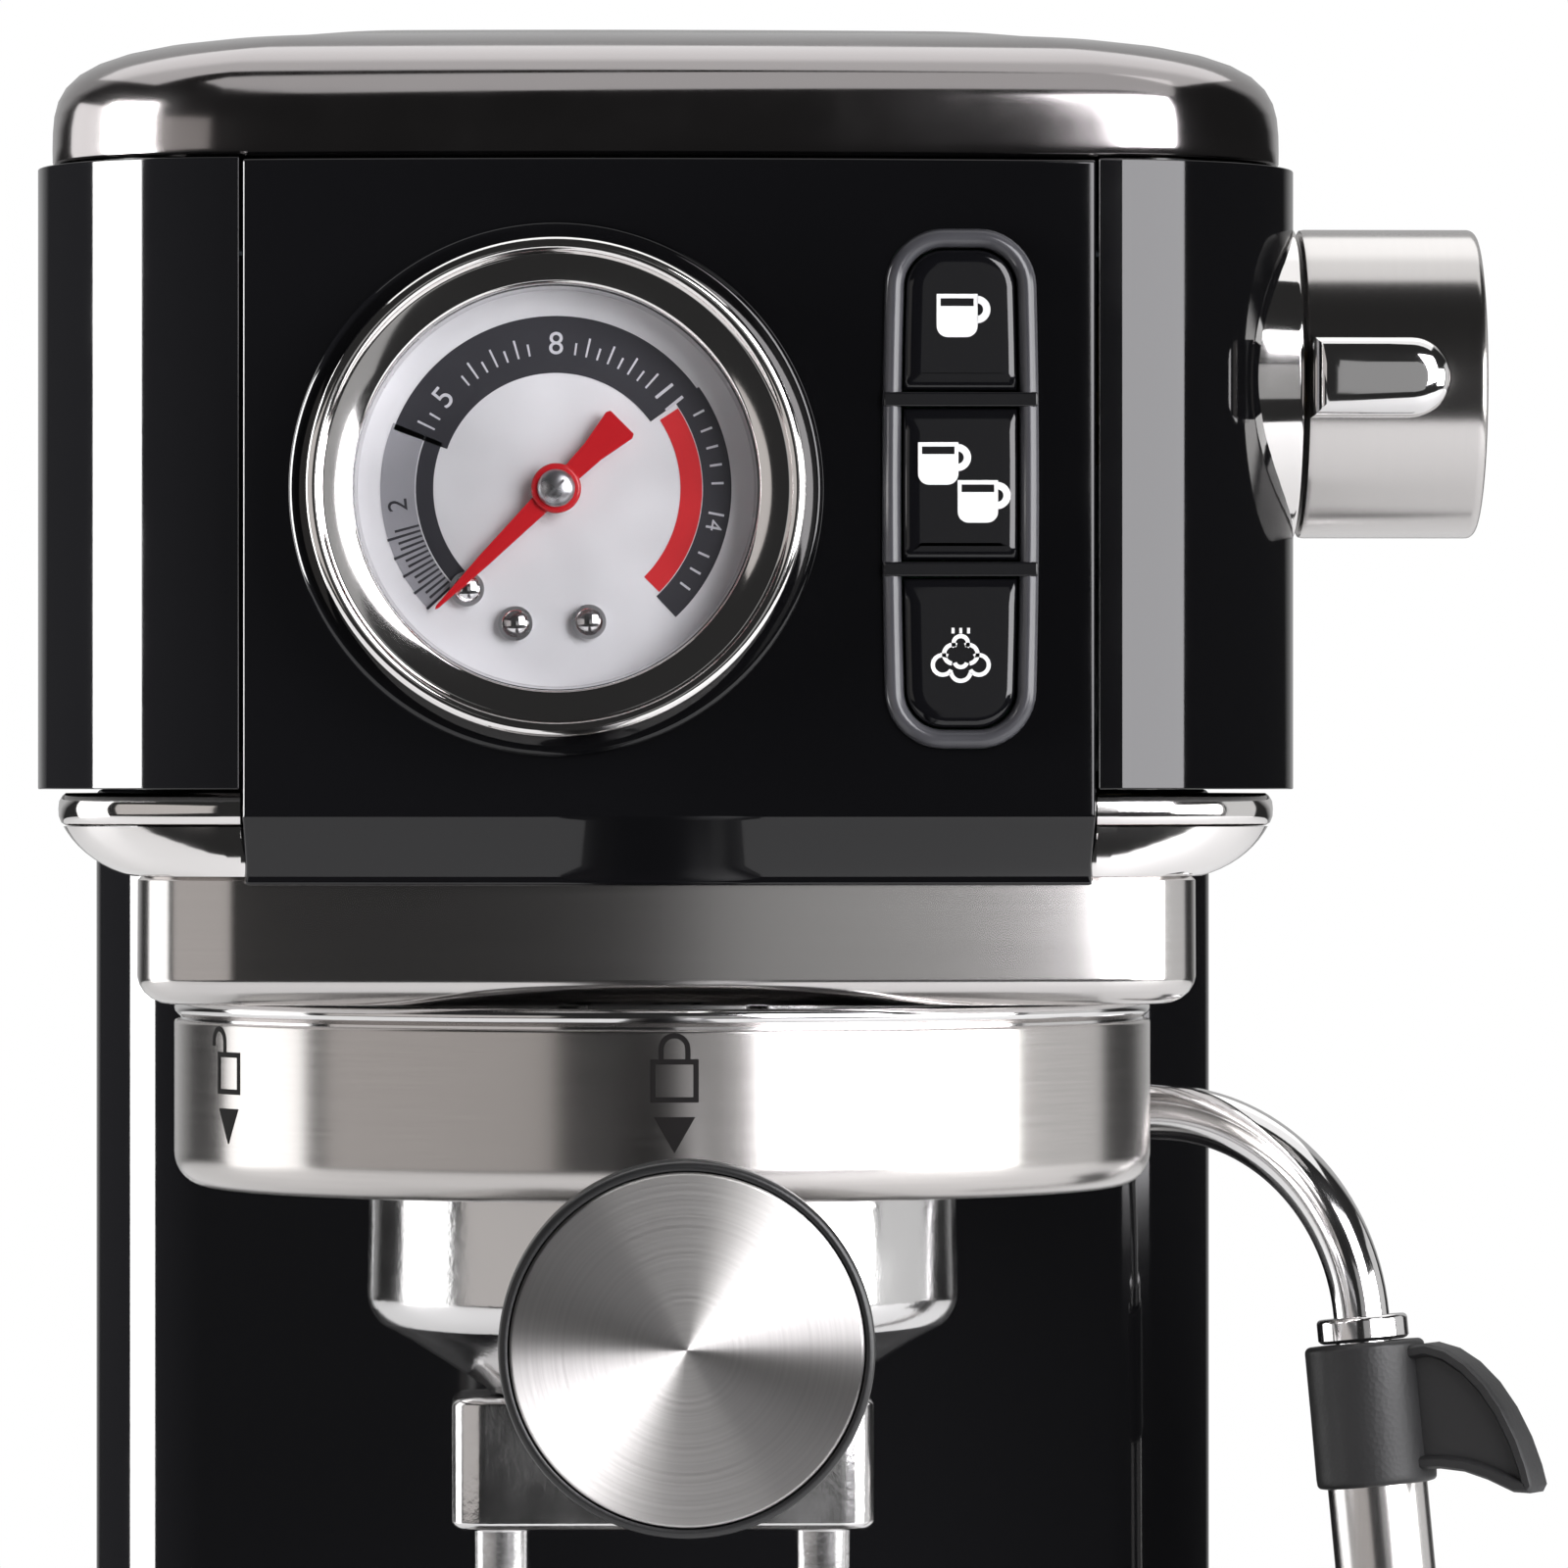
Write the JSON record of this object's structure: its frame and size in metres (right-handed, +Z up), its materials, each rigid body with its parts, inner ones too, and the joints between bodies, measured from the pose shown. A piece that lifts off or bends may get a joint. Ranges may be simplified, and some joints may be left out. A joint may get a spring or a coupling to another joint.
{
  "type": "espresso machine",
  "caption": "Slim pump espresso machine with a pressure gauge, capsule of brew buttons, bayonet portafilter, steam knob and swivelling milk-frothing wand.",
  "frame": {"origin": "on the table, under the middle of the base, in the machine's centre plane", "axes": "+X to the user's right, +Y towards the water tank, +Z up; the front faces -Y"},
  "size_m": [0.1861, 0.392, 0.305],
  "materials": {
    "black_gloss": "piano-black gloss",
    "gunmetal_gloss": "dark metallic gloss",
    "chrome_trim": "chrome-plated",
    "brushed_ring": "brushed round the axis",
    "brushed_disc": "spun",
    "polished_steel": "polished",
    "satin_steel": "satin",
    "screen_steel": "satin, perforated",
    "cast_bowl": "polished, slightly grainy",
    "matte_black": "fine matte",
    "grip_black": "soft satin",
    "rubber_black": "matte",
    "bezel_chrome": "polished",
    "dial_white": "satin print",
    "needle_red": "satin",
    "gauge_steel": "satin",
    "clear_window": "clear",
    "rim_grey": "translucent grey",
    "board_green": "solder mask",
    "tank_clear": "clear, slightly smoked",
    "frame_steel": "zinc-plated sheet",
    "brass_fitting": "machined",
    "pump_grey": "moulded, with bare metal frame",
    "boiler_alu": "die-cast",
    "group_alu": "die-cast",
    "pipe_copper": "drawn tube",
    "nylon": "natural",
    "red_plastic": "moulded",
    "screw_steel": "zinc"
  },
  "bodies": {
    "machine": {"base_plate": "matte_black", "rubber_feet": "rubber_black", "base_housing": "black_gloss", "column_cover": "black_gloss", "rear_wall": "matte_black", "head_shell": "black_gloss", "front_panel": "black_gloss", "top_cover": "gunmetal_gloss", "cup_plate": "satin_steel", "trim_band": "chrome_trim", "head_underside": "chrome_trim", "neck_collar": "chrome_trim", "chassis": "frame_steel", "housing_screws": "screw_steel", "group_ring": "brushed_ring", "brew_head": "group_alu", "group_gasket": "rubber_black", "shower_screen": "screen_steel", "shower_screw": "polished_steel", "knob_collar": "chrome_trim", "steam_valve": "brass_fitting", "steam_pipes": "pipe_copper", "wand_socket": "chrome_trim", "gauge_case": "gauge_steel", "gauge_bezel": "bezel_chrome", "gauge_lens": "clear_window", "gauge_dial": "dial_white", "gauge_posts": "gauge_steel", "button_frame": "rim_grey", "button_board": "board_green", "pump": "pump_grey", "boiler": "boiler_alu", "control_board": "board_green"},
    "portafilter": {"portafilter_bowl": "cast_bowl", "filter_basket": "screen_steel", "basket_spring": "polished_steel", "twin_spout": "cast_bowl", "handle_ferrule": "polished_steel", "handle_grip": "grip_black", "handle_rod": "screw_steel", "handle_cap": "brushed_disc"},
    "steam_control": {"steam_knob": "brushed_disc", "knob_lever": "polished_steel", "valve_stem": "brass_fitting"},
    "wand_turret": {"wand_seat": "nylon"},
    "wand": {"wand_pipe": "polished_steel", "wand_collar": "polished_steel", "wand_grip": "rubber_black", "wand_tip": "polished_steel"},
    "sleeve": {"froth_sleeve": "satin_steel"},
    "needle": {"gauge_needle": "needle_red"},
    "one_cup_key": {"one_cup_button": "black_gloss"},
    "two_cup_key": {"two_cup_button": "black_gloss"},
    "steam_key": {"steam_button": "black_gloss"},
    "tank": {"water_tank": "tank_clear"},
    "lid": {"tank_lid": "matte_black"},
    "tray": {"drip_tray": "black_gloss"},
    "grid": {"drip_grid": "satin_steel"},
    "float": {"tray_float": "red_plastic"},
    "rocker": {"power_switch": "matte_black"}
  },
  "joints": [
    {"name": "portafilter_twist", "type": "hinge", "parent": "machine", "child": "portafilter", "pos_m": [0, -0.06, 0.17], "axis": [0, 0, 1], "range_deg": [-62, 0]},
    {"name": "steam_knob_turn", "type": "hinge", "parent": "machine", "child": "steam_control", "pos_m": [0.0845, -0.088, 0.26385], "axis": [1, 0, 0], "range_deg": [0, 90]},
    {"name": "wand_swivel", "type": "hinge", "parent": "machine", "child": "wand_turret", "pos_m": [0.052, -0.012, 0.1916], "axis": [0, 0, 1], "range_deg": [-35, 50]},
    {"name": "wand_tilt", "type": "hinge", "parent": "wand_turret", "child": "wand", "pos_m": [0.052, -0.012, 0.1916], "axis": [-0.5, -0.866, 0], "range_deg": [0, 12]},
    {"name": "sleeve_pull", "type": "slide", "parent": "wand", "child": "sleeve", "axis": [0.0905, -0.0523, -0.9945], "range_m": [0, 0.06]},
    {"name": "needle_sweep", "type": "hinge", "parent": "machine", "child": "needle", "pos_m": [-0.0132, -0.12, 0.25025], "axis": [0, 1, 0], "range_deg": [0, 268], "stiffness_Nm_per_rad": 0.00002, "springref_deg": -57.3},
    {"name": "one_cup_press", "type": "slide", "parent": "machine", "child": "one_cup_key", "axis": [0, 1, 0], "range_m": [0, 0.002], "stiffness_N_per_m": 400, "springref_m": -0.001},
    {"name": "two_cup_press", "type": "slide", "parent": "machine", "child": "two_cup_key", "axis": [0, 1, 0], "range_m": [0, 0.002], "stiffness_N_per_m": 400, "springref_m": -0.001},
    {"name": "steam_press", "type": "slide", "parent": "machine", "child": "steam_key", "axis": [0, 1, 0], "range_m": [0, 0.002], "stiffness_N_per_m": 400, "springref_m": -0.001},
    {"name": "tank_lift", "type": "slide", "parent": "machine", "child": "tank", "axis": [0, 0, 1], "range_m": [0, 0.26]},
    {"name": "lid_open", "type": "hinge", "parent": "tank", "child": "lid", "pos_m": [0, 0.1455, 0.293], "axis": [-1, 0, 0], "range_deg": [0, 95]},
    {"name": "tray_pull", "type": "slide", "parent": "machine", "child": "tray", "axis": [0, -1, 0], "range_m": [0, 0.15]},
    {"name": "grid_lift", "type": "slide", "parent": "tray", "child": "grid", "axis": [0, 0, 1], "range_m": [0, 0.06]},
    {"name": "float_rise", "type": "slide", "parent": "tray", "child": "float", "axis": [0, 0, 1], "range_m": [0, 0.006]},
    {"name": "power_rock", "type": "hinge", "parent": "machine", "child": "rocker", "pos_m": [-0.04, 0.145, 0.02], "axis": [1, 0, 0], "range_deg": [-7, 7]}
  ]
}
